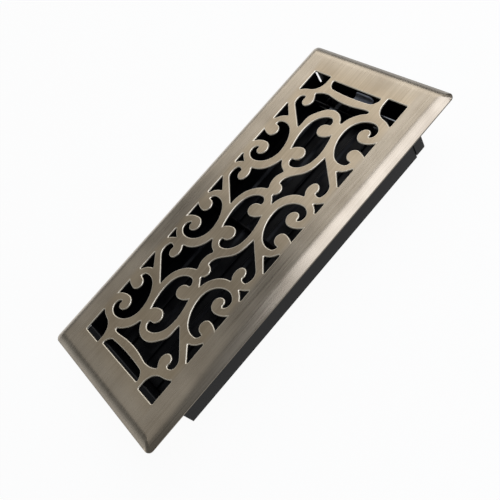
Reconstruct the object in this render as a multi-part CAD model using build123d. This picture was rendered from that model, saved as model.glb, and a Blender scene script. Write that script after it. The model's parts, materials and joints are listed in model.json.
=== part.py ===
from build123d import *
import math
import os

# Floor register: a pierced scroll plate over a louvred damper box. Millimetres.
# The origin is the middle of the plate's rim, at floor level. X runs along the plate
# towards the thumb lever, Z points up out of the floor, and the box hangs below.

# Damper box, made to drop into the floor opening. It sits a little off the plate's middle, towards
# the lever. The lever-end wall laps outside the side walls, the plain-end wall tucks in between them.
box_length = 250.0
box_width = 90.0
box_depth = 41.5
box_shift = 2.5
wall_sheet = 0.8
bend_radius = 1.3
flange_width = 8.0
corner_gap = 1.0
tab_length = 9.0
tab_top = 9.0
tab_raise = 2.6
inner_tab_drop = 7.0

# Face plate, which overhangs the box all round
end_overhang = 22.8
side_overhang = 19.7
plate_sheet = 1.2
plate_corner = 4.0
face_corner = 1.6
rim_edge = 0.9
bevel_width = 5.1
bevel_rise = 3.4
fold_radius = 3.5

# Pierced scroll field: how far it stays inside the plate's ends and sides, the size of the field
# that its outlines below are drawn on, and where the scroll repeats along it
field_end_margin = 21.8
field_side_margin = 20.7
drawn_field = (252.0, 88.0)
drawn_repeats = (-73.8, 0.0, 73.8)

# Louvres and their bent-wire rods
louvre_count = 4
louvre_lap = 2.3
louvre_side_gap = 0.25
louvre_end_gap = 0.6
lever_end_gap = 2.6
louvre_sheet = 0.6
louvre_lip = 2.0
louvre_lip_rise = 0.6
louvre_tilt = 5.0
louvre_turn = 80.0
pivot_depth = 16.5
rod_diameter = 2.5
rod_overhang = 0.6
seat_gap = 0.05
running_gap = 0.08
crank_radius = 12.0

# Cross members
brace_top = 4.5
brace_clear = 2.0
brace_tab = 10.0
brace_tab_height = 7.0
channel_width = 17.9
channel_clear = 4.0
channel_lip = 12.0
web_top = 5.0
side_clear = 0.3

# Link bar, its guide studs and the thumb lever
link_sheet = 0.8
crank_gap = 1.6
link_gap = 1.5
link_margin = 2.6
link_end = 2.0
pin_slack = 0.4
pin_reach = 1.5
guide_height = 7.5
guide_neck = 3.5
guide_head = 7.0
guide_head_height = 1.0
guide_slack = 0.1
guide_end_slack = 0.6
lever_width = 16.0
lever_sheet = 1.2
lever_corner = 3.0
lever_step = 6.0
lever_shelf = 3.4
lever_drop = 0.5
lever_bend = 1.6

# Sizes, heights and places worked out from those above
plate_length = box_length + 2 * end_overhang
plate_width = box_width + 2 * side_overhang
field_length = plate_length - 2 * field_end_margin
field_width = plate_width - 2 * field_side_margin
plate_top = rim_edge + bevel_rise
plate_under = plate_top - plate_sheet
flange_z = plate_under - wall_sheet / 2
lever_outer = box_shift + box_length / 2
lever_inner = lever_outer - wall_sheet
plain_outer = box_shift - box_length / 2
plain_inner = plain_outer + wall_sheet
side_inner = box_width / 2 - wall_sheet
tab_end = lever_outer - wall_sheet / 2 - tab_length
web_x = lever_inner - channel_width
web_outer = web_x + wall_sheet / 2
web_inner = web_x - wall_sheet / 2
rod_radius = rod_diameter / 2
louvre_pitch = (2 * (side_inner - louvre_side_gap) - louvre_lap) / louvre_count
louvre_width = louvre_pitch + louvre_lap
pivot_ys = [(n - (louvre_count - 1) / 2) * louvre_pitch for n in range(louvre_count)]
swing = math.radians(louvre_turn / 2)
half_travel = crank_radius * math.sin(swing)
pin_low = -pivot_depth + crank_radius * math.cos(swing)
pin_high = -pivot_depth + crank_radius
crank_x = web_outer + crank_gap + rod_radius
link_inner = crank_x + rod_radius + link_gap
link_outer = link_inner + link_sheet
link_low = pin_low - rod_radius - pin_slack - link_margin
link_high = pin_high + rod_radius + pin_slack + link_margin
guide_z = -pivot_depth + guide_height
guide_ys = [(pivot_ys[0] + pivot_ys[1]) / 2, (pivot_ys[-1] + pivot_ys[-2]) / 2]


def drawn(point, turned=False, shift=0.0):
    """Places a point of the drawn scroll in the pierced field, turned half round if asked."""
    x, y = point
    if turned:
        x, y = -x, -y
    return ((x + shift) * field_length / drawn_field[0], y * field_width / drawn_field[1])


def pierced(runs, turned=False, shift=0.0):
    """Closes runs of points into one opening.

    Two points draw a line and three an arc. Each further point adds an arc that carries on smoothly.
    """
    edges = []
    for run in runs:
        points = [drawn(point, turned, shift) for point in run]
        edges.append(Line(*points) if len(points) == 2 else ThreePointArc(*points[:3]))
        for point in points[3:]:
            edges.append(TangentArc(edges[-1] @ 1, point, tangent=edges[-1] % 1))
    return make_face(edges)


# Scroll openings, drawn from the middle of the field. Each is a list of runs, and a run ends at a
# corner or a blunt tip.
crescent = [
    [(-7.0, 44.0), (-18.6, 44.0)],
    [(-18.6, 44.0), (-15.6, 39.0), (-14.6, 33.4), (-20.3, 27.2), (-25.9, 32.2), (-21.7, 35.6)],
    [(-21.7, 35.6), (-20.9, 36.4)],
    [(-20.9, 36.4), (-21.5, 37.5)],
    [(-21.5, 37.5), (-25.2, 39.2), (-28.9, 37.6), (-31.2, 31.0)],
    [(-31.2, 31.0), (-26.6, 21.0), (-16.5, 16.9), (0.8, 23.5), (4.5, 34.9), (2.2, 37.6)],
    [(2.2, 37.6), (1.0, 37.9)],
    [(1.0, 37.9), (0.6, 36.6)],
    [(0.6, 36.6), (-4.2, 31.5), (-9.4, 37.0), (-7.0, 44.0)],
]

comma_half = [
    [(-10.4, 10.2), (-5.0, 11.8), (0.5, 12.9), (12.0, 12.4), (21.2, 5.3), (22.4, 1.0), (18.6, -3.4)],
    [(18.6, -3.4), (17.3, -3.1)],
    [(17.3, -3.1), (17.1, -1.7)],
    [(17.1, -1.7), (11.7, 3.6), (6.3, -2.2), (10.4, -10.2)],
]

leaf_top = [
    [(6.6, 19.9), (20.6, 36.2)],
    [(20.6, 36.2), (23.5, 38.7), (27.4, 39.4), (30.9, 38.3), (32.0, 36.0), (31.4, 34.0), (29.9, 33.4)],
    [(29.9, 33.4), (27.0, 33.2), (24.6, 30.9), (26.4, 25.6), (31.8, 24.9), (35.5, 27.0)],
    [(35.5, 27.0), (36.3, 27.0)],
    [(36.3, 27.0), (36.5, 26.2)],
    [(36.5, 26.2), (37.8, 21.4), (40.0, 17.7), (51.4, 10.4)],
    [(51.4, 10.4), (52.0, 10.0)],
]

leaf_foot = [
    [(7.3, 19.0), (6.4, 19.2)],
    [(6.4, 19.2), (6.6, 19.9)],
]

leaf_plain = [
    [(52.0, 10.0), (51.6, 9.2)],
    [(51.6, 9.2), (48.1, 6.2), (46.1, 2.4)],
    [(46.1, 2.4), (45.2, 1.4)],
    [(45.2, 1.4), (44.3, 1.7)],
    [(44.3, 1.7), (37.0, 4.1), (30.6, 2.2)],
    [(30.6, 2.2), (29.3, 2.4)],
    [(29.3, 2.4), (28.6, 4.6)],
    [(28.6, 4.6), (25.2, 10.8), (21.0, 14.9), (7.3, 19.0)],
]

leaf_ball = [
    [(52.0, 10.0), (51.4, 9.4)],
    [(51.4, 9.4), (49.4, 7.9), (47.6, 5.9)],
    [(47.6, 5.9), (46.4, 5.9)],
    [(46.4, 5.9), (42.0, 9.0), (37.3, 5.2)],
    [(37.3, 5.2), (36.7, 3.4)],
    [(36.7, 3.4), (35.4, 3.2)],
    [(35.4, 3.2), (32.9, 3.9), (30.4, 5.5), (28.4, 7.5), (25.0, 11.6), (15.0, 17.9), (7.3, 19.0)],
]

end_leaf = [
    [(80.4, 19.9), (94.2, 35.9)],
    [(94.2, 35.9), (96.6, 37.9), (99.6, 38.7), (103.9, 35.0), (102.2, 33.5)],
    [(102.2, 33.5), (99.2, 33.4), (96.9, 30.9), (98.6, 25.7), (104.0, 25.0), (108.0, 27.6)],
    [(108.0, 27.6), (108.9, 27.9)],
    [(108.9, 27.9), (109.4, 27.2)],
    [(109.4, 27.2), (111.2, 23.0), (111.9, 18.4), (111.5, 14.3), (109.9, 0.0), (111.2, -14.0),
     (111.8, -20.6)],
    [(111.8, -20.6), (111.2, -22.0)],
    [(111.2, -22.0), (110.0, -21.8)],
    [(110.0, -21.8), (106.8, -16.9), (102.6, -13.0), (96.4, -10.3)],
    [(96.4, -10.3), (95.4, -9.6)],
    [(95.4, -9.6), (96.2, -8.4)],
    [(96.2, -8.4), (100.1, -5.5), (102.4, -1.2), (99.2, 11.5), (93.6, 16.6), (86.4, 18.9), (81.1, 19.0)],
    [(81.1, 19.0), (80.2, 19.2)],
    [(80.2, 19.2), (80.4, 19.9)],
]

large_corner = [
    [(19.2, 44.0), (4.7, 44.0)],
    [(4.7, 44.0), (4.2, 43.4)],
    [(4.2, 43.4), (4.7, 42.7)],
    [(4.7, 42.7), (8.2, 39.7), (10.4, 35.2)],
    [(10.4, 35.2), (11.0, 34.8)],
    [(11.0, 34.8), (19.5, 43.4)],
    [(19.5, 43.4), (19.2, 44.0)],
]

small_corner = [
    [(42.2, 44.0), (34.7, 44.0)],
    [(34.7, 44.0), (34.1, 43.5)],
    [(34.1, 43.5), (36.1, 40.8), (37.4, 38.1)],
    [(37.4, 38.1), (38.0, 37.7)],
    [(38.0, 37.7), (39.9, 40.7), (42.6, 43.2)],
    [(42.6, 43.2), (42.2, 44.0)],
]

field_corner = [
    [(125.4, 44.0), (108.2, 44.0)],
    [(108.2, 44.0), (107.6, 43.4)],
    [(107.6, 43.4), (109.6, 39.8), (110.7, 36.0), (115.6, 29.1), (120.2, 27.5)],
    [(120.2, 27.5), (125.4, 27.5)],
    [(125.4, 27.5), (126.0, 28.1)],
    [(126.0, 28.1), (126.0, 43.4)],
    [(126.0, 43.4), (125.4, 44.0)],
]

end_slot = [
    [(124.0, -21.9), (124.0, 21.9)],
    [(124.0, 21.9), (123.2, 22.6)],
    [(123.2, 22.6), (120.0, 21.3), (117.5, 18.3)],
    [(117.5, 18.3), (116.5, 0.0), (117.5, -18.3)],
    [(117.5, -18.3), (120.0, -21.3), (123.2, -22.6)],
    [(123.2, -22.6), (124.0, -21.9)],
]


def scroll_field():
    """The whole pierced field: the repeats of the scroll, the same turned half round, and the ends."""
    comma = comma_half + [[(-x, -y) for x, y in run] for run in comma_half]
    openings = [pierced(comma, False, shift) for shift in drawn_repeats]
    for turned in (False, True):
        leaf = leaf_top + (leaf_ball if turned else leaf_plain) + leaf_foot
        for shift in drawn_repeats:
            openings.append(pierced(crescent, turned, shift))
            openings.append(pierced(large_corner, turned, shift))
        for shift in drawn_repeats[1:] if turned else drawn_repeats[:-1]:
            openings.append(pierced(leaf, turned, shift))
            openings.append(pierced(small_corner, turned, shift))
        openings.append(pierced(end_leaf, turned))
        openings.append(pierced(end_slot, turned))
    corner = pierced(field_corner)
    for copy in (corner, mirror(corner, Plane.YZ)):
        openings.append(copy)
        openings.append(mirror(copy, Plane.XZ))
    return openings


def face_plate():
    """Stamped plate: flat face, bevelled rim standing on the floor, hollow underneath."""
    slope = bevel_width / bevel_rise
    wall_run = plate_sheet / math.sin(math.atan2(bevel_rise, bevel_width))
    foot = wall_run - rim_edge * slope
    hollow_in = wall_run + (plate_under - rim_edge) * slope
    rim = RectangleRounded(plate_length, plate_width, plate_corner)
    face = RectangleRounded(plate_length - 2 * bevel_width, plate_width - 2 * bevel_width, face_corner)
    bevel = loft([Pos(0, 0, rim_edge) * rim, Pos(0, 0, plate_top) * face])
    bevel = fillet(bevel.edges().group_by(Axis.Z)[-1], fold_radius)
    hollow_foot = RectangleRounded(plate_length - 2 * foot, plate_width - 2 * foot, plate_corner - foot)
    hollow_top = RectangleRounded(
        plate_length - 2 * hollow_in, plate_width - 2 * hollow_in, face_corner)
    hollow = loft([hollow_foot, Pos(0, 0, plate_under) * hollow_top])
    plate = extrude(rim, rim_edge) + bevel - hollow
    cutters = [extrude(Pos(0, 0, plate_under) * opening, plate_sheet) for opening in scroll_field()]
    return plate - cutters


def side_wall():
    """Left wall of the box, flanged under the plate, its lower corner cut back behind the lap."""
    y = box_width / 2 - wall_sheet / 2
    path = FilletPolyline(
        (y, -box_depth), (y, flange_z), (y + flange_width, flange_z), radius=bend_radius)
    profile = Plane.YZ.offset(plain_outer) * trace(path, wall_sheet)
    wall = extrude(profile, lever_inner - corner_gap - plain_outer)
    cut_back = Box(tab_length, 2 * wall_sheet, tab_raise, align=(Align.MIN, Align.CENTER, Align.MIN))
    return wall - Pos(tab_end, y, -box_depth) * cut_back


def end_wall(x, outward, tab_reach, tab_y, tab_low, tab_high):
    """One end wall: flanged outwards under the plate, its lower part folded into a tab at each side."""
    lap = FilletPolyline(
        (tab_reach, -tab_y), (x, -tab_y), (x, tab_y), (tab_reach, tab_y), radius=bend_radius)
    lower = extrude(Pos(0, 0, tab_low) * trace(lap, wall_sheet), tab_high - tab_low)
    path = FilletPolyline(
        (x, tab_low), (x, flange_z), (x + outward * flange_width, flange_z), radius=bend_radius)
    upper = extrude(Plane.XZ * trace(path, wall_sheet), side_inner - side_clear, both=True)
    return lower + upper


def lever_end_wall():
    """End wall at the lever, whose tabs lap outside the side walls' corners."""
    x = lever_outer - wall_sheet / 2
    tab_y = box_width / 2 + wall_sheet / 2
    return end_wall(x, 1, tab_end, tab_y, tab_raise - box_depth, -tab_top)


def plain_end_wall():
    """End wall away from the lever, whose tabs tuck inside the side walls below the louvres' swing."""
    x = plain_outer + wall_sheet / 2
    tab_y = side_inner - wall_sheet / 2
    tab_high = -pivot_depth - inner_tab_drop
    return end_wall(x, -1, x + tab_length, tab_y, -box_depth, tab_high) - rod_holes()


def rod_holes():
    """Round cutters along every rod, a running clearance larger than the wire."""
    cutter = Rotation(0, 90, 0) * Cylinder(rod_radius + running_gap, 2 * box_length)
    return [Pos(0, y, -pivot_depth) * cutter for y in pivot_ys]


def centre_brace():
    """Cross plate at mid length, notched from its top for the rods, tabbed to the side walls."""
    foot = -box_depth + brace_clear
    y = side_inner - wall_sheet / 2
    fold = FilletPolyline(
        (brace_tab, -y), (0, -y), (0, y), (brace_tab, y), radius=bend_radius)
    tabs = extrude(Pos(0, 0, foot) * trace(fold, wall_sheet), brace_tab_height)
    web = Box(wall_sheet, 2 * (y - bend_radius), -brace_top - foot,
              align=(Align.CENTER, Align.CENTER, Align.MIN))
    notch_width = rod_diameter + 2 * running_gap
    notch = Box(2 * wall_sheet, notch_width, pivot_depth + notch_width / 2,
                align=(Align.CENTER, Align.CENTER, Align.MAX))
    return tabs + Pos(0, 0, foot) * web - [Pos(0, y, 0) * notch for y in pivot_ys]


def lever_bracket():
    """Folded channel at the lever end: a web for the rods and guides, a floor and a welded lip."""
    floor_z = -box_depth + channel_clear
    lip_x = lever_inner - wall_sheet / 2
    path = FilletPolyline(
        (web_x, -web_top), (web_x, floor_z), (lip_x, floor_z), (lip_x, floor_z + channel_lip),
        radius=bend_radius)
    channel = extrude(Plane.XZ * trace(path, wall_sheet), side_inner - side_clear, both=True)
    reach = 2 * half_travel + 2 * guide_end_slack + guide_neck
    slot = Box(2 * channel_width, reach, guide_neck + 2 * guide_slack)
    return channel - rod_holes() - [Pos(web_x, y, guide_z) * slot for y in guide_ys]


def louvre(x_start, x_end, y):
    """One blade: thin sheet ribbed over its rod, with lips along both edges, at its closed tilt."""
    rib = rod_radius + seat_gap + louvre_sheet / 2
    rib_foot = rib * math.sqrt(2)
    rib_crown = rib * (math.sqrt(2) - 1)
    edge = louvre_width / 2
    path = Polyline(
        (-edge, -louvre_lip_rise), (louvre_lip - edge, 0), (-rib_foot, 0), (-rib_crown, rib),
        (rib_crown, rib), (rib_foot, 0), (edge - louvre_lip, 0), (edge, louvre_lip_rise))
    blade = extrude(Plane.YZ.offset(x_start) * trace(path, louvre_sheet), x_end - x_start)
    return Pos(0, y, -pivot_depth) * Rotation(-louvre_tilt, 0, 0) * blade


def pivot_rod(y):
    """Bent wire: a straight pivot through the box, a crank and a crank pin, at the closed position."""
    start = plain_outer - rod_overhang
    pin_y = -crank_radius * math.sin(swing)
    pin_z = crank_radius * math.cos(swing)
    path = Polyline(
        (start, 0, 0), (crank_x, 0, 0), (crank_x, pin_y, pin_z), (link_outer + pin_reach, pin_y, pin_z))
    section = Plane.YZ.offset(start) * Circle(rod_radius)
    return Pos(0, y, -pivot_depth) * sweep(section, path=path, transition=Transition.RIGHT)


def link_bar():
    """Flat bar across the lever end, slotted for the four crank pins, at the closed position."""
    length = pivot_ys[-1] - pivot_ys[0] + rod_diameter + 2 * pin_slack + 2 * link_end
    blank = Pos(0, (link_low + link_high) / 2) * Rectangle(length, link_high - link_low)
    slot = Rectangle(rod_diameter + 2 * pin_slack, pin_high - pin_low + rod_diameter + 2 * pin_slack)
    slots = [Pos(y, (pin_low + pin_high) / 2) * slot for y in pivot_ys]
    bar = extrude(Plane.YZ.offset(link_inner) * (blank - slots), link_sheet)
    return Pos(0, -half_travel, 0) * bar


def thumb_lever():
    """Folded tab: welded to the link bar, stepped out and up into the end slot of the plate."""
    leg_x = link_outer + lever_sheet / 2
    tip_x = leg_x + lever_step
    top = plate_top - lever_drop
    shelf = plate_under - lever_shelf
    path = FilletPolyline(
        (leg_x, link_low), (leg_x, shelf), (tip_x, shelf), (tip_x, top), radius=lever_bend)
    strip = extrude(Plane.XZ * trace(path, lever_sheet), lever_width / 2, both=True)
    strip = fillet(strip.edges().filter_by(Axis.X).group_by(Axis.Z)[-1], lever_corner)
    return Pos(0, -half_travel, 0) * strip


def guide_stud(y):
    """Square stud with a wider head, welded to the link bar, that runs in a slot of the bracket's web."""
    head_x = web_inner - guide_slack
    neck = Box(link_inner - head_x, guide_neck, guide_neck, align=(Align.MIN, Align.CENTER, Align.CENTER))
    head = Box(guide_head_height, guide_head, guide_head, align=(Align.MAX, Align.CENTER, Align.CENTER))
    return Pos(head_x, y - half_travel, guide_z) * (neck + head)


def save(name, piece):
    """Writes one node; a list becomes a group of separate solids."""
    if isinstance(piece, list):
        piece = Compound(children=piece)
    export_step(piece, f"parts/{name}.step")


def main():
    os.makedirs("parts", exist_ok=True)
    save("face_plate", face_plate())
    left = side_wall()
    save("side_wall_left", left)
    save("side_wall_right", mirror(left, Plane.XZ))
    save("end_wall_lever", lever_end_wall())
    save("end_wall_plain", plain_end_wall())
    save("centre_brace", centre_brace())
    save("lever_bracket", lever_bracket())
    near_start = plain_inner + louvre_end_gap
    brace_face = wall_sheet / 2 + louvre_end_gap
    far_end = web_inner - lever_end_gap
    for n, y in enumerate(pivot_ys, start=1):
        save(f"pivot_rod_{n}", pivot_rod(y))
        save(f"louvre_near_{n}", louvre(near_start, -brace_face, y))
        save(f"louvre_far_{n}", louvre(brace_face, far_end, y))
    save("link_bar", link_bar())
    save("thumb_lever", thumb_lever())
    save("guide_studs", [guide_stud(y) for y in guide_ys])
    print("lever travel", round(2 * half_travel, 3))


if __name__ == "__main__":
    main()
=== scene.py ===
import json
import math

import bmesh
import bpy
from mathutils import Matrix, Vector

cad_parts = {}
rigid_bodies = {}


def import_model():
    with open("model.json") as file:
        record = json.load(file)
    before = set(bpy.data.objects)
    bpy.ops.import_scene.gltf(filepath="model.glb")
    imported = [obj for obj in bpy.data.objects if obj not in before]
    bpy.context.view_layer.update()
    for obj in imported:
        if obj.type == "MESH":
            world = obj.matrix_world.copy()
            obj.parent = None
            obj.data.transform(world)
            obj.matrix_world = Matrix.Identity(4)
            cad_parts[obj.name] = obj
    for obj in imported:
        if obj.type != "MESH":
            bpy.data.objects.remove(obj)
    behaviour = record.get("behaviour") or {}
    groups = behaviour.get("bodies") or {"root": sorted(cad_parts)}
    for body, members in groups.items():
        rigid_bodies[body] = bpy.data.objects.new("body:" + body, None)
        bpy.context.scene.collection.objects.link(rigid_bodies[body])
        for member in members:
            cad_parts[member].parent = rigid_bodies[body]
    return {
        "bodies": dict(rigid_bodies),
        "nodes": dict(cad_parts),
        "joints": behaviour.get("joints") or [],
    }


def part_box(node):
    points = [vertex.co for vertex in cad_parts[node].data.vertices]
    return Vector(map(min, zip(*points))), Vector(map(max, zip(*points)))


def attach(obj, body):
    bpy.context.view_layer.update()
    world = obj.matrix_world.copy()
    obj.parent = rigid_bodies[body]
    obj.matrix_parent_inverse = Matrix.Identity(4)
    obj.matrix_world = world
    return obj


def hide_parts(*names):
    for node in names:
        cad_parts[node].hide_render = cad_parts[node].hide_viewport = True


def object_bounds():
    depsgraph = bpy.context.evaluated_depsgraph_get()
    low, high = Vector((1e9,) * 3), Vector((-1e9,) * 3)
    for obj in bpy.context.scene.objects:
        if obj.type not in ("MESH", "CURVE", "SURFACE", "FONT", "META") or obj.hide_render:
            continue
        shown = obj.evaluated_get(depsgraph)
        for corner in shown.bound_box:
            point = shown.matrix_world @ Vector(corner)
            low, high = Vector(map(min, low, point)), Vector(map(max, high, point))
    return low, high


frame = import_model()
CAD_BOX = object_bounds()

bl_info = {
    "name": "Scroll floor register",
    "version": (1, 0, 0),
    "blender": (4, 5, 0),
    "location": "3D View > Sidebar > Register",
    "description": "Finishes a scroll floor register: brushed plate, painted box, wire rods and stage",
    "category": "Object",
}

MM = 0.001
JOINTS = {joint["name"]: joint for joint in frame["joints"]}
LOUVRE_BODIES = [name for name in frame["bodies"] if name.startswith("louvre_")]
PLATE_LOW, PLATE_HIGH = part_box("face_plate")
BOX_LOW, BOX_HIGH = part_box("end_wall_plain")[0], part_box("end_wall_lever")[1]
BOX_NODES = (
    "side_wall_left", "side_wall_right", "end_wall_lever", "end_wall_plain", "centre_brace",
    "lever_bracket")
LINK_NODES = ("link_bar", "guide_studs")

# The plate's bevelled rim, and the radius of its fold in the CAD mesh
BEVEL_WIDTH = 5.1 * MM
BEVEL_RISE = 3.4 * MM
BEVEL_TURN = math.atan2(BEVEL_RISE, BEVEL_WIDTH)
CAD_FOLD = 3.5 * MM

# Rings of edges that are added beside the fold, by their distance from the rim
FOLD_RINGS = [ring * MM for ring in (2.0, 2.7, 3.4, 6.8, 7.5, 8.3, 9.2)]

# How far under the plate's top a vertex still counts as its top
TOP_DEPTH = 0.5 * MM

# Welding and flattening of a copied mesh
WELD_GAP = 0.001 * MM
FLAT_ANGLE = math.radians(0.5)

# Angles above which an edge is rounded, and above which its shading stays crisp
SHARP_ANGLE = math.radians(35)
SMOOTH_ANGLE = math.radians(50)

# How upright a normal is, at least on the plate's face and at most on its cuts
UP_FACING = 0.99
SIDE_FACING = 0.1

# Steps of the rounded edges
CUT_STEPS = 3
SHEET_STEPS = 2

# Which of the plate's materials its pierced edges take, counted from nought
POLISHED = 1

# Sides of the round wire, steps of its bends and the turn of each bend
WIRE_SIDES = 24
BEND_STEPS = 6
QUARTER_TURN = math.pi / 2

# Shares of the damper box's outline between which the pierced field takes its own finish
FIELD_OUTSIDE = 1.04
FIELD_INSIDE = 0.94

# The pierced field's colour and light against the plain border's, and what it adds to the roughness
FIELD_SATURATION = 1.25
FIELD_LIGHT = 1.02
FIELD_ROUGHNESS = 0.09

# How bright the lever end's bevel stays under its painted shade, and how bright the rim's cut edge stays
BEVEL_LIGHT = 0.5
CUT_LIGHT = 0.3

# Share of the lever end bevel's width in which its painted shade is full
FULL_SHADE = 0.65

# Widths over which the painted shade fades at the corners' mitres, and the darkening fades above the
# rim's cut edge
MITRE_BLUR = 1.0 * MM
CUT_BLUR = 0.15 * MM

# The range in which most of a noise lies
NOISE_LOW = 0.3
NOISE_HIGH = 0.7

# Depth of the brush lines and of the paint's ripples
BUMP_DEPTH = 0.02 * MM

# Sockets of a Mix node's two colours, and of the colour that it gives
MIX_FIRST = 6
MIX_SECOND = 7
MIX_RESULT = 2

# The floor's width and its gap under the damper box
FLOOR_SIZE = 40.0
FLOOR_GAP = 0.2 * MM

# Share of the floor's look that is plain white, while the rest keeps the shadow
FLOOR_WHITE = 0.95

# The way to the lit side of the room, and how far along that way its light begins and is full
LIT_SIDE = (-0.75, 0.66, -0.5)
LIT_FROM = 0.55
LIT_FULL = 0.85

# How near the camera still sees
CAMERA_NEAR = 5 * MM


def linear(hex_colour):
    """Turns an sRGB hex colour into linear red, green and blue."""
    channels = [int(hex_colour[n:n + 2], 16) / 255 for n in (1, 3, 5)]
    return [c / 12.92 if c <= 0.04045 else ((c + 0.055) / 1.055) ** 2.4 for c in channels]


def colour_prop(name, description, hex_colour):
    """A colour that the user may change."""
    return bpy.props.FloatVectorProperty(
        name=name, description=description, subtype="COLOR", size=3, min=0, max=1,
        default=linear(hex_colour))


def length_prop(name, description, millimetres):
    """A length that the user may change, given in millimetres."""
    return bpy.props.FloatProperty(
        name=name, description=description, unit="LENGTH", precision=4, default=millimetres * MM)


def strength_prop(name, description, strength):
    """A strength of light that the user may change."""
    return bpy.props.FloatProperty(name=name, description=description, min=0, default=strength)


def power_prop(name, description, watts):
    """A lamp's power that the user may change."""
    return bpy.props.FloatProperty(name=name, description=description, subtype="POWER", default=watts)


def place_prop(name, description, place):
    """A place that the user may change, in metres."""
    return bpy.props.FloatVectorProperty(
        name=name, description=description, subtype="TRANSLATION", unit="LENGTH", size=3, default=place)


def sides_prop(name, description, sides):
    """The two sides of a soft box, in metres."""
    return bpy.props.FloatVectorProperty(
        name=name, description=description, unit="LENGTH", size=2, default=sides)


class RegisterFinish(bpy.types.PropertyGroup):
    """Sizes and colours of the register's surfaces."""

    brass: colour_prop("Brass", "Plating along the bright brush lines", "#C4B6A1")
    brass_toned: colour_prop(
        "Toned brass", "Plating between the brush lines, where the toning stays", "#A89A86")
    brass_edge: colour_prop(
        "Polished edge", "Plating of the pierced edges, polished bare of toning", "#EFE4CF")
    paint: colour_prop("Paint", "Black paint of the damper box", "#09090B")
    # Grey of the lever's tip, which fades down into the black paint
    greyed: colour_prop("Rubbed paint", "Paint of the lever's tip, rubbed grey by thumbs", "#5E6168")
    zinc: colour_prop("Zinc", "Plating of the link bar and its studs", "#9A9DA0")
    zinc_dull: colour_prop("Dull zinc", "Darker grains of the zinc plating", "#7C7F83")
    brush_spacing: length_prop("Brush spacing", "Width of a brush line", 0.6)
    brush_length: length_prop("Brush length", "Length of a brush line", 90.0)
    cloud_size: length_prop("Toning size", "Width of the soft clouds in the toning", 28.0)
    peel_size: length_prop("Paint ripple", "Width of the ripples in the sprayed paint", 0.9)
    # How far down the lever's tip the grey reaches, and the width of its patches
    grey_depth: length_prop("Rubbed depth", "How far down the lever its paint is rubbed", 3.0)
    grey_patch_size: length_prop("Rubbed patches", "Width of the patches in the rubbed paint", 2.5)
    grain_size: length_prop("Zinc grain", "Width of a grain in the zinc plating", 1.2)
    fold: length_prop("Fold", "Radius of the soft fold between the face and its bevelled rim", 12.0)
    # Width of the painted shade on the lever end's bevel, which stands for a darker reflection
    end_bevel_shade: length_prop("Toned bevel", "Width of the toned part of the lever end's bevel", 4.0)
    cut_edge: length_prop("Cut edge", "Rounding of the pierced edges", 0.75)
    sheet_edge: length_prop("Sheet edge", "Rounding of the folded sheets' edges", 0.12)
    wire_bend: length_prop("Wire bend", "Radius of the bends in the rods", 2.2)


class RegisterStage(bpy.types.PropertyGroup):
    """Floor, lamps and camera."""

    floor: colour_prop("Floor", "Pale floor under the register", "#F4F4F4")
    room: colour_prop("Room", "Light of the room all round", "#F2F8FF")
    room_dim: strength_prop("Dim room", "Strength of the room's light on its dim side", 0.152)
    room_lit: strength_prop("Lit room", "Strength of the room's light on its lit side", 0.54)
    key_colour: colour_prop("Key colour", "Colour of the soft box over the lever end", "#EAF0FF")
    key_watts: power_prop("Key light", "Power of the soft box over the lever end", 11.3)
    key_place: place_prop("Key place", "Middle of that soft box", (0.6225, -0.555, 1.0))
    key_size: sides_prop("Key size", "Sides of that soft box", (1.035, 1.59))
    fill_colour: colour_prop("Fill colour", "Colour of the soft boxes behind the register", "#FFFFFF")
    fill_watts: power_prop("Fill light", "Power of the soft box behind the register", 2.72)
    fill_place: place_prop("Fill place", "Middle of that soft box", (0.48, 1.725, 1.0))
    fill_size: sides_prop("Fill size", "Sides of that soft box", (0.46, 2.55))
    far_watts: power_prop("Far light", "Power of the soft box behind the lever end", 18.6)
    far_place: place_prop("Far place", "Middle of that soft box", (1.555, 1.725, 1.0))
    far_size: sides_prop("Far size", "Sides of that soft box", (1.69, 2.55))
    near_watts: power_prop("Near light", "Power of the soft box behind the plain end", 0.94)
    near_place: place_prop("Near place", "Middle of that soft box", (-0.340, 0.75, 1.0))
    near_size: sides_prop("Near size", "Sides of that soft box", (0.51, 1.9))
    near_turn: bpy.props.FloatProperty(
        name="Near turn", description="Turn of that soft box about the upright", subtype="ANGLE",
        default=math.radians(-12))
    eye: place_prop("Camera place", "Where the camera stands", (-0.05490, -0.28311, 0.31345))
    aim: bpy.props.FloatVectorProperty(
        name="Camera turn", description="How the camera is turned", subtype="EULER", size=3,
        default=(math.radians(32.335), math.radians(25.543), math.radians(-43.827)))
    lens: bpy.props.FloatProperty(
        name="Lens", description="Focal length in mm", unit="CAMERA", default=44.63)
    shift: bpy.props.FloatVectorProperty(
        name="Shift", description="Shift of the picture's middle", size=2, default=(-0.0060, -0.0006))


def add_node(tree, kind, inputs=None, **settings):
    """Adds one node with its settings, and sets or links its inputs by name or number."""
    node = tree.nodes.new(kind)
    for name, value in settings.items():
        setattr(node, name, value)
    for key, value in (inputs or {}).items():
        if isinstance(value, bpy.types.NodeSocket):
            tree.links.new(value, node.inputs[key])
        else:
            node.inputs[key].default_value = value
    return node


def new_material(name):
    """An empty node material, its tree and the tree's output."""
    material = bpy.data.materials.new(name)
    material.use_nodes = True
    material.node_tree.nodes.clear()
    output = add_node(material.node_tree, "ShaderNodeOutputMaterial")
    return material, material.node_tree, output


def opaque(colour):
    """A linear colour with full alpha."""
    return (*colour, 1.0)


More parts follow.
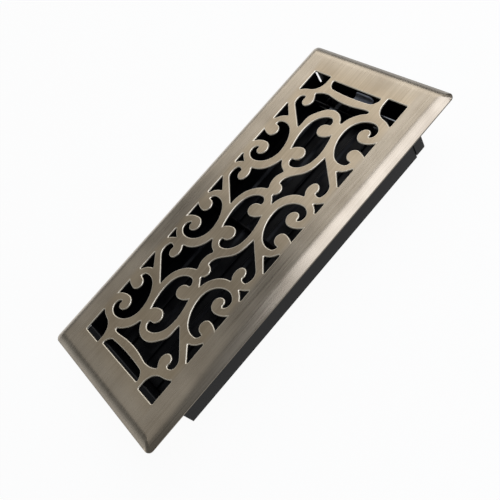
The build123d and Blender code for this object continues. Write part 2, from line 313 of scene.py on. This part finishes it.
def brushed_brass(finish):
    """Antique brass plating on steel, brushed along the length, toned and lacquered.

    The eye gets long fine streaks that stretch the lights across the plate, and soft brown clouds. The
    pierced field is a little warmer and duller than the plain border. The brush lines are drawn coarser
    than the real ones, which are too fine to show.
    """
    material, tree, output = new_material("antique_brass_brushed")
    place = add_node(tree, "ShaderNodeTexCoord").outputs["Object"]
    across = 1 / finish.brush_spacing
    along = add_node(tree, "ShaderNodeMapping", {
        "Vector": place, "Scale": (1 / finish.brush_length, across, across)}).outputs[0]
    lines = add_node(tree, "ShaderNodeTexNoise", {
        "Vector": along, "Scale": 1.0, "Detail": 3.0, "Roughness": 0.6}).outputs["Fac"]
    clouds = add_node(tree, "ShaderNodeTexNoise", {
        "Vector": place, "Scale": 1 / finish.cloud_size, "Detail": 2.0}).outputs["Fac"]
    # Lines and clouds each lie about a half, so their sum lies about one.
    tone = add_node(tree, "ShaderNodeMath", {0: lines, 1: clouds}, operation="ADD").outputs[0]
    share = add_node(tree, "ShaderNodeMapRange", {
        "Value": tone, "From Min": 0.77, "From Max": 1.23}).outputs["Result"]
    colour = add_node(tree, "ShaderNodeMix", {
        "Factor": share, MIX_FIRST: opaque(finish.brass_toned), MIX_SECOND: opaque(finish.brass)},
        data_type="RGBA").outputs[MIX_RESULT]
    field = add_node(tree, "ShaderNodeMapRange", {
        "Value": box_share(tree, place), "From Min": FIELD_OUTSIDE,
        "From Max": FIELD_INSIDE}).outputs["Result"]
    colour = add_node(tree, "ShaderNodeHueSaturation", {
        "Saturation": FIELD_SATURATION, "Value": FIELD_LIGHT, "Fac": field, "Color": colour}).outputs[0]
    # Painted shade on the lever end's bevel, and a darker rim cut edge
    colour = add_node(tree, "ShaderNodeHueSaturation", {
        "Value": rim_darkening(tree, place, finish), "Color": colour}).outputs[0]
    roughness = add_node(tree, "ShaderNodeMapRange", {
        "Value": lines, "From Min": NOISE_LOW, "From Max": NOISE_HIGH, "To Min": 0.24,
        "To Max": 0.36}).outputs["Result"]
    roughness = add_node(tree, "ShaderNodeMath", {
        0: field, 1: FIELD_ROUGHNESS, 2: roughness}, operation="MULTIPLY_ADD").outputs[0]
    bump = add_node(tree, "ShaderNodeBump", {
        "Strength": 0.12, "Distance": BUMP_DEPTH, "Height": lines}).outputs["Normal"]
    across_lines = add_node(
        tree, "ShaderNodeTangent", direction_type="UV_MAP", uv_map="brush").outputs[0]
    shader = add_node(tree, "ShaderNodeBsdfPrincipled", {
        "Base Color": colour, "Metallic": 1.0, "Roughness": roughness, "Normal": bump,
        "Anisotropic": 0.6, "Tangent": across_lines, "Coat Weight": 0.5, "Coat Roughness": 0.3})
    tree.links.new(shader.outputs[0], output.inputs["Surface"])
    return material


def rim_darkening(tree, place, finish):
    """How bright the plating stays: less on the lever end's bevel, where shade is painted, and least on
    the rim's cut edge.
    """
    sides = add_node(tree, "ShaderNodeSeparateXYZ", {0: place}).outputs
    aside = add_node(tree, "ShaderNodeMath", {0: sides["Y"]}, operation="ABSOLUTE").outputs[0]
    past_aside = add_node(tree, "ShaderNodeMath", {
        0: sides["X"], 1: aside}, operation="SUBTRACT").outputs[0]
    # Painted shade on the lever end's bevel, standing for a darker reflection, fading at the corner
    # mitres
    mitre = PLATE_HIGH.x - PLATE_HIGH.y
    past_mitre = add_node(tree, "ShaderNodeMapRange", {
        "Value": past_aside, "From Min": mitre, "From Max": mitre + MITRE_BLUR}).outputs["Result"]
    at_end = add_node(tree, "ShaderNodeMapRange", {
        "Value": sides["X"], "From Min": PLATE_HIGH.x - finish.end_bevel_shade,
        "From Max": PLATE_HIGH.x - finish.end_bevel_shade * FULL_SHADE}).outputs["Result"]
    shaded = add_node(tree, "ShaderNodeMath", {0: past_mitre, 1: at_end}, operation="MULTIPLY").outputs[0]
    bevel = add_node(tree, "ShaderNodeMath", {
        0: shaded, 1: BEVEL_LIGHT - 1, 2: 1.0}, operation="MULTIPLY_ADD").outputs[0]
    # Darker on the rim's cut edge, below the bevel
    rim_top = PLATE_HIGH.z - BEVEL_RISE
    above_cut = add_node(tree, "ShaderNodeMapRange", {
        "Value": sides["Z"], "From Min": rim_top, "From Max": rim_top + CUT_BLUR,
        "To Min": CUT_LIGHT}).outputs["Result"]
    return add_node(tree, "ShaderNodeMath", {0: bevel, 1: above_cut}, operation="MULTIPLY").outputs[0]


def polished_brass(finish):
    """The same plating on the pierced edges, where polishing has taken the toning off.

    The eye gets a cream line round every opening, brightest where it turns to the lights.
    """
    material, tree, output = new_material("antique_brass_polished_edge")
    shader = add_node(tree, "ShaderNodeBsdfPrincipled", {
        "Base Color": opaque(finish.brass_edge), "Metallic": 1.0, "Roughness": 0.42})
    tree.links.new(shader.outputs[0], output.inputs["Surface"])
    return material


def black_paint(finish):
    """Satin black paint sprayed on sheet steel.

    The eye gets a deep black with a soft sheen and a faint ripple.
    """
    material, tree, output = new_material("satin_black_paint")
    place = add_node(tree, "ShaderNodeTexCoord").outputs["Object"]
    ripple = add_node(tree, "ShaderNodeTexNoise", {
        "Vector": place, "Scale": 1 / finish.peel_size, "Detail": 1.0}).outputs["Fac"]
    roughness = add_node(tree, "ShaderNodeMapRange", {
        "Value": ripple, "From Min": NOISE_LOW, "From Max": NOISE_HIGH, "To Min": 0.30,
        "To Max": 0.38}).outputs["Result"]
    bump = add_node(tree, "ShaderNodeBump", {
        "Strength": 0.1, "Distance": BUMP_DEPTH, "Height": ripple}).outputs["Normal"]
    shader = add_node(tree, "ShaderNodeBsdfPrincipled", {
        "Base Color": opaque(finish.paint), "Roughness": roughness, "Normal": bump,
        "Specular IOR Level": 0.15})
    tree.links.new(shader.outputs[0], output.inputs["Surface"])
    return material


def greyed_paint(finish):
    """The same black paint on the thumb lever, grey towards its tip.

    The eye gets a patchy grey that fades down into the black.
    """
    material = material_for("satin_black_paint", black_paint, finish).copy()
    material.name = "greyed_black_paint"
    tree = material.node_tree
    place = add_node(tree, "ShaderNodeTexCoord").outputs["Object"]
    height = add_node(tree, "ShaderNodeSeparateXYZ", {0: place}).outputs["Z"]
    near_tip = add_node(tree, "ShaderNodeMapRange", {
        "Value": height, "From Min": PLATE_LOW.z - finish.grey_depth,
        "From Max": PLATE_LOW.z}).outputs["Result"]
    patches = add_node(tree, "ShaderNodeTexNoise", {
        "Vector": place, "Scale": 1 / finish.grey_patch_size, "Detail": 3.0}).outputs["Fac"]
    patchy = add_node(tree, "ShaderNodeMapRange", {
        "Value": patches, "From Min": 0.3, "From Max": 0.6, "To Min": 0.6}).outputs["Result"]
    share = add_node(tree, "ShaderNodeMath", {0: near_tip, 1: patchy}, operation="MULTIPLY").outputs[0]
    colour = add_node(tree, "ShaderNodeMix", {
        "Factor": share, MIX_FIRST: opaque(finish.paint), MIX_SECOND: opaque(finish.greyed)},
        data_type="RGBA").outputs[MIX_RESULT]
    tree.links.new(colour, tree.nodes["Principled BSDF"].inputs["Base Color"])
    return material


def zinc_plating(finish):
    """Zinc plating on steel strip, as it comes from the bath.

    The eye gets a cool grey metal, dulled in small grains.
    """
    material, tree, output = new_material("dull_zinc_plating")
    place = add_node(tree, "ShaderNodeTexCoord").outputs["Object"]
    grains = add_node(tree, "ShaderNodeTexNoise", {
        "Vector": place, "Scale": 1 / finish.grain_size, "Detail": 2.0}).outputs["Fac"]
    share = add_node(tree, "ShaderNodeMapRange", {
        "Value": grains, "From Min": 0.35, "From Max": 0.65}).outputs["Result"]
    colour = add_node(tree, "ShaderNodeMix", {
        "Factor": share, MIX_FIRST: opaque(finish.zinc_dull), MIX_SECOND: opaque(finish.zinc)},
        data_type="RGBA").outputs[MIX_RESULT]
    roughness = add_node(tree, "ShaderNodeMapRange", {
        "Value": grains, "From Min": NOISE_LOW, "From Max": NOISE_HIGH, "To Min": 0.46,
        "To Max": 0.34}).outputs["Result"]
    shader = add_node(tree, "ShaderNodeBsdfPrincipled", {
        "Base Color": colour, "Metallic": 1.0, "Roughness": roughness})
    tree.links.new(shader.outputs[0], output.inputs["Surface"])
    return material


def box_share(tree, place):
    """How far a place lies from the damper box's middle, seen from above: one at the box's outline."""
    middle = (BOX_LOW + BOX_HIGH) / 2
    half = (BOX_HIGH - BOX_LOW) / 2
    off_middle = add_node(tree, "ShaderNodeVectorMath", {
        0: place, 1: middle}, operation="SUBTRACT").outputs[0]
    shares = add_node(tree, "ShaderNodeVectorMath", {
        0: off_middle, 1: half}, operation="DIVIDE").outputs[0]
    shares = add_node(tree, "ShaderNodeVectorMath", {0: shares}, operation="ABSOLUTE").outputs[0]
    sides = add_node(tree, "ShaderNodeSeparateXYZ", {0: shares}).outputs
    return add_node(tree, "ShaderNodeMath", {
        0: sides["X"], 1: sides["Y"]}, operation="MAXIMUM").outputs[0]


def pale_floor(stage):
    """Matt pale floor, white where it is seen directly, with a trace of the register's shadow.

    Mirrored it is white too, but not where the damper box shades it.
    """
    material, tree, output = new_material("pale_matt_floor")
    path = add_node(tree, "ShaderNodeLightPath").outputs
    place = add_node(tree, "ShaderNodeTexCoord").outputs["Object"]
    beside_box = add_node(tree, "ShaderNodeMath", {
        0: box_share(tree, place), 1: 1.0}, operation="GREATER_THAN").outputs[0]
    mirrored = add_node(tree, "ShaderNodeMath", {
        0: path["Is Glossy Ray"], 1: beside_box}, operation="MULTIPLY").outputs[0]
    seen = add_node(tree, "ShaderNodeMath", {
        0: path["Is Camera Ray"], 1: mirrored}, operation="MAXIMUM").outputs[0]
    seen = add_node(tree, "ShaderNodeMath", {
        0: seen, 1: path["Is Transmission Ray"]}, operation="MAXIMUM").outputs[0]
    share = add_node(tree, "ShaderNodeMath", {0: seen, 1: FLOOR_WHITE}, operation="MULTIPLY").outputs[0]
    matt = add_node(tree, "ShaderNodeBsdfDiffuse", {"Color": opaque(stage.floor)}).outputs[0]
    white = add_node(tree, "ShaderNodeEmission", {"Strength": 1.0}).outputs[0]
    mixed = add_node(tree, "ShaderNodeMixShader", {0: share, 1: matt, 2: white}).outputs[0]
    tree.links.new(mixed, output.inputs["Surface"])
    return material


def room_light(stage):
    """Soft light all round, brighter low down behind the register's plain end."""
    world = bpy.data.worlds.new("studio_room")
    world.use_nodes = True
    tree = world.node_tree
    tree.nodes.clear()
    way = add_node(tree, "ShaderNodeTexCoord").outputs["Generated"]
    lit_side = add_node(tree, "ShaderNodeVectorMath", {
        0: way, 1: LIT_SIDE}, operation="DOT_PRODUCT").outputs["Value"]
    strength = add_node(tree, "ShaderNodeMapRange", {
        "Value": lit_side, "From Min": LIT_FROM, "From Max": LIT_FULL, "To Min": stage.room_dim,
        "To Max": stage.room_lit}).outputs["Result"]
    sky = add_node(tree, "ShaderNodeBackground", {
        "Color": opaque(stage.room), "Strength": strength}).outputs[0]
    add_node(tree, "ShaderNodeOutputWorld", {"Surface": sky})
    bpy.context.scene.world = world


def material_for(name, make, finish):
    """The material of that name, made the first time it is asked for."""
    return bpy.data.materials.get(name) or make(finish)


def pick_only(piece):
    """Leaves one object selected and active."""
    bpy.ops.object.select_all(action="DESELECT")
    piece.select_set(True)
    bpy.context.view_layer.objects.active = piece


def welded_copy(node):
    """A copy of a node's mesh, welded and cleared of the triangles inside its flat faces."""
    piece = bpy.data.objects.new(f"{node}_finished", frame["nodes"][node].data.copy())
    bpy.context.scene.collection.objects.link(piece)
    pick_only(piece)
    bpy.ops.object.mode_set(mode="EDIT")
    bpy.ops.mesh.select_all(action="SELECT")
    bpy.ops.mesh.remove_doubles(threshold=WELD_GAP)
    bpy.ops.mesh.dissolve_limited(angle_limit=FLAT_ANGLE)
    bpy.ops.object.mode_set(mode="OBJECT")
    return piece


def apply_modifier(piece, kind, **settings):
    """Adds a modifier to the active piece and applies it."""
    modifier = piece.modifiers.new(kind.lower(), kind)
    for name, value in settings.items():
        setattr(modifier, name, value)
    bpy.ops.object.modifier_apply(modifier=modifier.name)


def smooth(piece):
    """Smooth shading that keeps flat faces flat."""
    bpy.ops.object.shade_smooth_by_angle(angle=SMOOTH_ANGLE)
    apply_modifier(piece, "WEIGHTED_NORMAL", keep_sharp=True)


def coat(piece, *materials):
    """Gives a piece its materials, the first on all faces."""
    piece.data.materials.clear()
    for material in materials:
        piece.data.materials.append(material)


def dress(piece, slot, body, *nodes):
    """Gives a finished piece its body, and lets it stand for its nodes, which it hides."""
    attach(piece, body)
    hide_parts(*nodes)


def soften_sheet(node, material, finish):
    """A copy of a folded sheet's mesh with its edges rounded, in its material."""
    piece = welded_copy(node)
    coat(piece, material)
    apply_modifier(
        piece, "BEVEL", width=finish.sheet_edge, segments=SHEET_STEPS, limit_method="ANGLE",
        angle_limit=SHARP_ANGLE, use_clamp_overlap=True)
    smooth(piece)
    return piece


class FinishFacePlate(bpy.types.Operator):
    """Rounds the fold and the pierced edges of the face plate, and gives it its brushed finish."""

    bl_idname = "floor_register.face_plate"
    bl_label = "Face plate"

    def execute(self, context):
        finish = context.scene.register_finish
        piece = welded_copy("face_plate")
        coat(piece, material_for("antique_brass_brushed", brushed_brass, finish),
             material_for("antique_brass_polished_edge", polished_brass, finish))
        self.roll_fold(piece, finish.fold)
        bpy.ops.object.mode_set(mode="EDIT")
        self.select_cut_edges(piece)
        bpy.ops.mesh.bevel(
            offset=finish.cut_edge, segments=CUT_STEPS, profile=0.5, affect="EDGES", loop_slide=False,
            clamp_overlap=False, material=POLISHED)
        bpy.ops.object.mode_set(mode="OBJECT")
        smooth(piece)
        self.lay_brush_map(piece)
        dress(piece, "antique_brass_plate", "register", "face_plate")
        return {"FINISHED"}

    def roll_fold(self, piece, radius):
        """Rounds the fold more softly: cuts rings of edges beside it and lowers them to suit."""
        bpy.ops.object.mode_set(mode="EDIT")
        for ring in FOLD_RINGS:
            for way in ((1, 0, 0), (-1, 0, 0), (0, 1, 0), (0, -1, 0)):
                bpy.ops.mesh.select_all(action="SELECT")
                side = PLATE_HIGH.x if way[0] else PLATE_HIGH.y
                bpy.ops.mesh.bisect(plane_co=Vector(way) * (side - ring), plane_no=way)
        bpy.ops.object.mode_set(mode="OBJECT")
        for vert in piece.data.vertices:
            inset = min(PLATE_HIGH.x - abs(vert.co.x), PLATE_HIGH.y - abs(vert.co.y))
            if vert.co.z > self.folded(inset, CAD_FOLD) - TOP_DEPTH:
                vert.co.z += self.folded(inset, radius) - self.folded(inset, CAD_FOLD)

    def folded(self, inset, radius):
        """Height of the plate's top at a distance in from its rim, for a fold of that radius."""
        reach = radius * math.tan(BEVEL_TURN / 2)
        from_face = BEVEL_WIDTH + reach - inset
        if from_face <= 0:
            return PLATE_HIGH.z
        if from_face >= radius * math.sin(BEVEL_TURN):
            return PLATE_HIGH.z - (BEVEL_WIDTH - inset) * BEVEL_RISE / BEVEL_WIDTH
        return PLATE_HIGH.z - radius + math.sqrt(radius ** 2 - from_face ** 2)

    def select_cut_edges(self, piece):
        """Selects the top edges of the openings, where the face meets an upright cut."""
        bpy.ops.mesh.select_mode(type="EDGE")
        bpy.ops.mesh.select_all(action="DESELECT")
        shape = bmesh.from_edit_mesh(piece.data)
        for edge in shape.edges:
            facing = sorted(abs(face.normal.z) for face in edge.link_faces)
            if len(facing) == 2 and facing[0] < SIDE_FACING and facing[1] > UP_FACING:
                edge.select = min(vert.co.z for vert in edge.verts) > PLATE_HIGH.z - WELD_GAP
        bmesh.update_edit_mesh(piece.data)

    def lay_brush_map(self, piece):
        """A map of the plate from above, whose first axis runs across the brush lines."""
        brush = piece.data.uv_layers.new(name="brush")
        for loop in piece.data.loops:
            place = piece.data.vertices[loop.vertex_index].co
            brush.data[loop.index].uv = (place.y, place.x)


class FinishDamperBox(bpy.types.Operator):
    """Rounds the sheet edges of the box's walls and cross members, and paints them."""

    bl_idname = "floor_register.damper_box"
    bl_label = "Damper box"

    def execute(self, context):
        finish = context.scene.register_finish
        paint = material_for("satin_black_paint", black_paint, finish)
        for node in BOX_NODES:
            dress(soften_sheet(node, paint, finish), "black_painted_steel", "register", node)
        return {"FINISHED"}


class FinishLouvres(bpy.types.Operator):
    """Rounds the edges of the louvre blades and paints them."""

    bl_idname = "floor_register.louvres"
    bl_label = "Louvres"

    def execute(self, context):
        finish = context.scene.register_finish
        paint = material_for("satin_black_paint", black_paint, finish)
        for body in LOUVRE_BODIES:
            number = body.split("_")[1]
            for node in (f"louvre_near_{number}", f"louvre_far_{number}"):
                dress(soften_sheet(node, paint, finish), "black_painted_steel", body, node)
        return {"FINISHED"}


class FinishLever(bpy.types.Operator):
    """Rounds the edges of the thumb lever, its link bar and their studs, and coats them."""

    bl_idname = "floor_register.lever"
    bl_label = "Thumb lever"

    def execute(self, context):
        finish = context.scene.register_finish
        greyed = material_for("greyed_black_paint", greyed_paint, finish)
        dress(soften_sheet("thumb_lever", greyed, finish), "black_painted_steel", "lever", "thumb_lever")
        zinc = material_for("dull_zinc_plating", zinc_plating, finish)
        for node in LINK_NODES:
            dress(soften_sheet(node, zinc, finish), "zinc_plated_steel", "lever", node)
        return {"FINISHED"}


class FinishRods(bpy.types.Operator):
    """Bends the wire rods that carry the louvres, each with its crank and crank pin."""

    bl_idname = "floor_register.rods"
    bl_label = "Pivot rods"

    def execute(self, context):
        finish = context.scene.register_finish
        for body in LOUVRE_BODIES:
            node = f"pivot_rod_{body.split('_')[1]}"
            piece = self.bent_wire(node, Vector(JOINTS[f"{body}_turn"]["pos_m"]), finish)
            smooth(piece)
            coat(piece, material_for("satin_black_paint", black_paint, finish))
            dress(piece, "black_painted_steel", body, node)
        return {"FINISHED"}

    def bent_wire(self, node, pivot, finish):
        """A wire along the pivot, bent up the crank and bent again along the crank pin."""
        low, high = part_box(node)
        radius = high.y - pivot.y
        start = Vector((low.x, pivot.y, pivot.z))
        elbow = Vector((self.crank_place(node, low, high), pivot.y, pivot.z))
        knee = Vector((elbow.x, low.y + radius, high.z - radius))
        end = Vector((high.x, knee.y, knee.z))
        along = Vector((1, 0, 0))
        up_crank = (knee - elbow).normalized()
        bend = finish.wire_bend
        bpy.ops.object.select_all(action="DESELECT")
        bpy.ops.mesh.primitive_circle_add(
            vertices=WIRE_SIDES, radius=radius, location=start, rotation=(0, QUARTER_TURN, 0))
        piece = bpy.context.active_object
        piece.name = f"{node}_finished"
        bpy.ops.object.transform_apply(location=True, rotation=True, scale=True)
        bpy.ops.object.mode_set(mode="EDIT")
        bpy.ops.mesh.select_all(action="SELECT")
        self.run(elbow - start - along * bend)
        self.turn(elbow + (up_crank - along) * bend, along.cross(up_crank))
        self.run(knee - elbow - up_crank * 2 * bend)
        self.turn(knee + (along - up_crank) * bend, up_crank.cross(along))
        self.run(end - knee - along * bend)
        bpy.ops.mesh.select_all(action="SELECT")
        bpy.ops.mesh.fill_holes(sides=0)
        bpy.ops.mesh.select_all(action="SELECT")
        bpy.ops.mesh.normals_make_consistent(inside=False)
        bpy.ops.object.mode_set(mode="OBJECT")
        return piece

    def crank_place(self, node, low, high):
        """How far along the rod its crank stands, from the rings where the plain rod is mitred."""
        xs = [vert.co.x for vert in frame["nodes"][node].data.vertices]
        rings = [x for x in xs if low.x + WELD_GAP < x < high.x - WELD_GAP]
        return (min(rings) + max(rings)) / 2

    def run(self, step):
        """Draws the open end of the wire straight on."""
        bpy.ops.mesh.extrude_region_move(TRANSFORM_OT_translate={"value": step})

    def turn(self, centre, axis):
        """Bends the open end of the wire by a right angle."""
        bpy.ops.mesh.spin(steps=BEND_STEPS, angle=-QUARTER_TURN, center=centre, axis=axis)


class SetStage(bpy.types.Operator):
    """Lays the pale floor, hangs the lights and sets the camera."""

    bl_idname = "floor_register.stage"
    bl_label = "Stage"

    def execute(self, context):
        stage = context.scene.register_stage
        self.lay_floor(stage)
        room_light(stage)
        fill = stage.fill_colour
        self.hang_soft_box(
            "key_light", stage.key_place, stage.key_size, stage.key_watts, stage.key_colour)
        self.hang_soft_box("fill_light", stage.fill_place, stage.fill_size, stage.fill_watts, fill)
        self.hang_soft_box("far_light", stage.far_place, stage.far_size, stage.far_watts, fill)
        self.hang_soft_box(
            "near_light", stage.near_place, stage.near_size, stage.near_watts, fill, stage.near_turn)
        self.set_camera(context.scene, stage)
        context.scene.view_settings.view_transform = "Standard"
        return {"FINISHED"}

    def lay_floor(self, stage):
        """A wide plain floor just under the damper box."""
        bpy.ops.object.select_all(action="DESELECT")
        bpy.ops.mesh.primitive_plane_add(size=FLOOR_SIZE, location=(0, 0, CAD_BOX[0].z - FLOOR_GAP))
        floor = bpy.context.active_object
        floor.name = "pale_floor"
        floor.data.materials.append(pale_floor(stage))

    def hang_soft_box(self, name, place, sides, watts, colour, turn=0.0):
        """A soft box that shines straight down, turned about the upright."""
        lamp = bpy.data.lights.new(name, "AREA")
        lamp.color = colour
        lamp.shape = "RECTANGLE"
        lamp.size, lamp.size_y = sides
        lamp.energy = watts
        holder = bpy.data.objects.new(name, lamp)
        holder.location = place
        holder.rotation_euler.z = turn
        bpy.context.scene.collection.objects.link(holder)

    def set_camera(self, scene, stage):
        """The camera, with its lens and the shift of its picture."""
        camera = bpy.data.cameras.new("camera")
        camera.lens = stage.lens
        camera.shift_x, camera.shift_y = stage.shift
        camera.clip_start = CAMERA_NEAR
        holder = bpy.data.objects.new("camera", camera)
        holder.location = stage.eye
        holder.rotation_euler = stage.aim
        scene.collection.objects.link(holder)
        scene.camera = holder


OPERATORS = (FinishFacePlate, FinishDamperBox, FinishLouvres, FinishLever, FinishRods, SetStage)


class RegisterPanel(bpy.types.Panel):
    """Lists the steps and values of the register."""

    bl_idname = "VIEW3D_PT_floor_register"
    bl_label = "Floor register"
    bl_space_type = "VIEW_3D"
    bl_region_type = "UI"
    bl_category = "Register"

    def draw(self, context):
        for operator in OPERATORS:
            self.layout.operator(operator.bl_idname)
        for group in (context.scene.register_finish, context.scene.register_stage):
            for name in group.bl_rna.properties.keys():
                if name not in ("rna_type", "name"):
                    self.layout.prop(group, name)


CLASSES = (RegisterFinish, RegisterStage, *OPERATORS, RegisterPanel)


def register():
    """Registers the classes and hangs their values on the scene."""
    for cls in CLASSES:
        bpy.utils.register_class(cls)
    bpy.types.Scene.register_finish = bpy.props.PointerProperty(type=RegisterFinish)
    bpy.types.Scene.register_stage = bpy.props.PointerProperty(type=RegisterStage)


def unregister():
    """Takes the values off the scene and the classes out again."""
    del bpy.types.Scene.register_stage
    del bpy.types.Scene.register_finish
    for cls in reversed(CLASSES):
        bpy.utils.unregister_class(cls)


def main():
    """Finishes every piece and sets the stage."""
    register()
    bpy.ops.floor_register.face_plate()
    bpy.ops.floor_register.damper_box()
    bpy.ops.floor_register.louvres()
    bpy.ops.floor_register.lever()
    bpy.ops.floor_register.rods()
    bpy.ops.floor_register.stage()


if __name__ == "__main__":
    main()
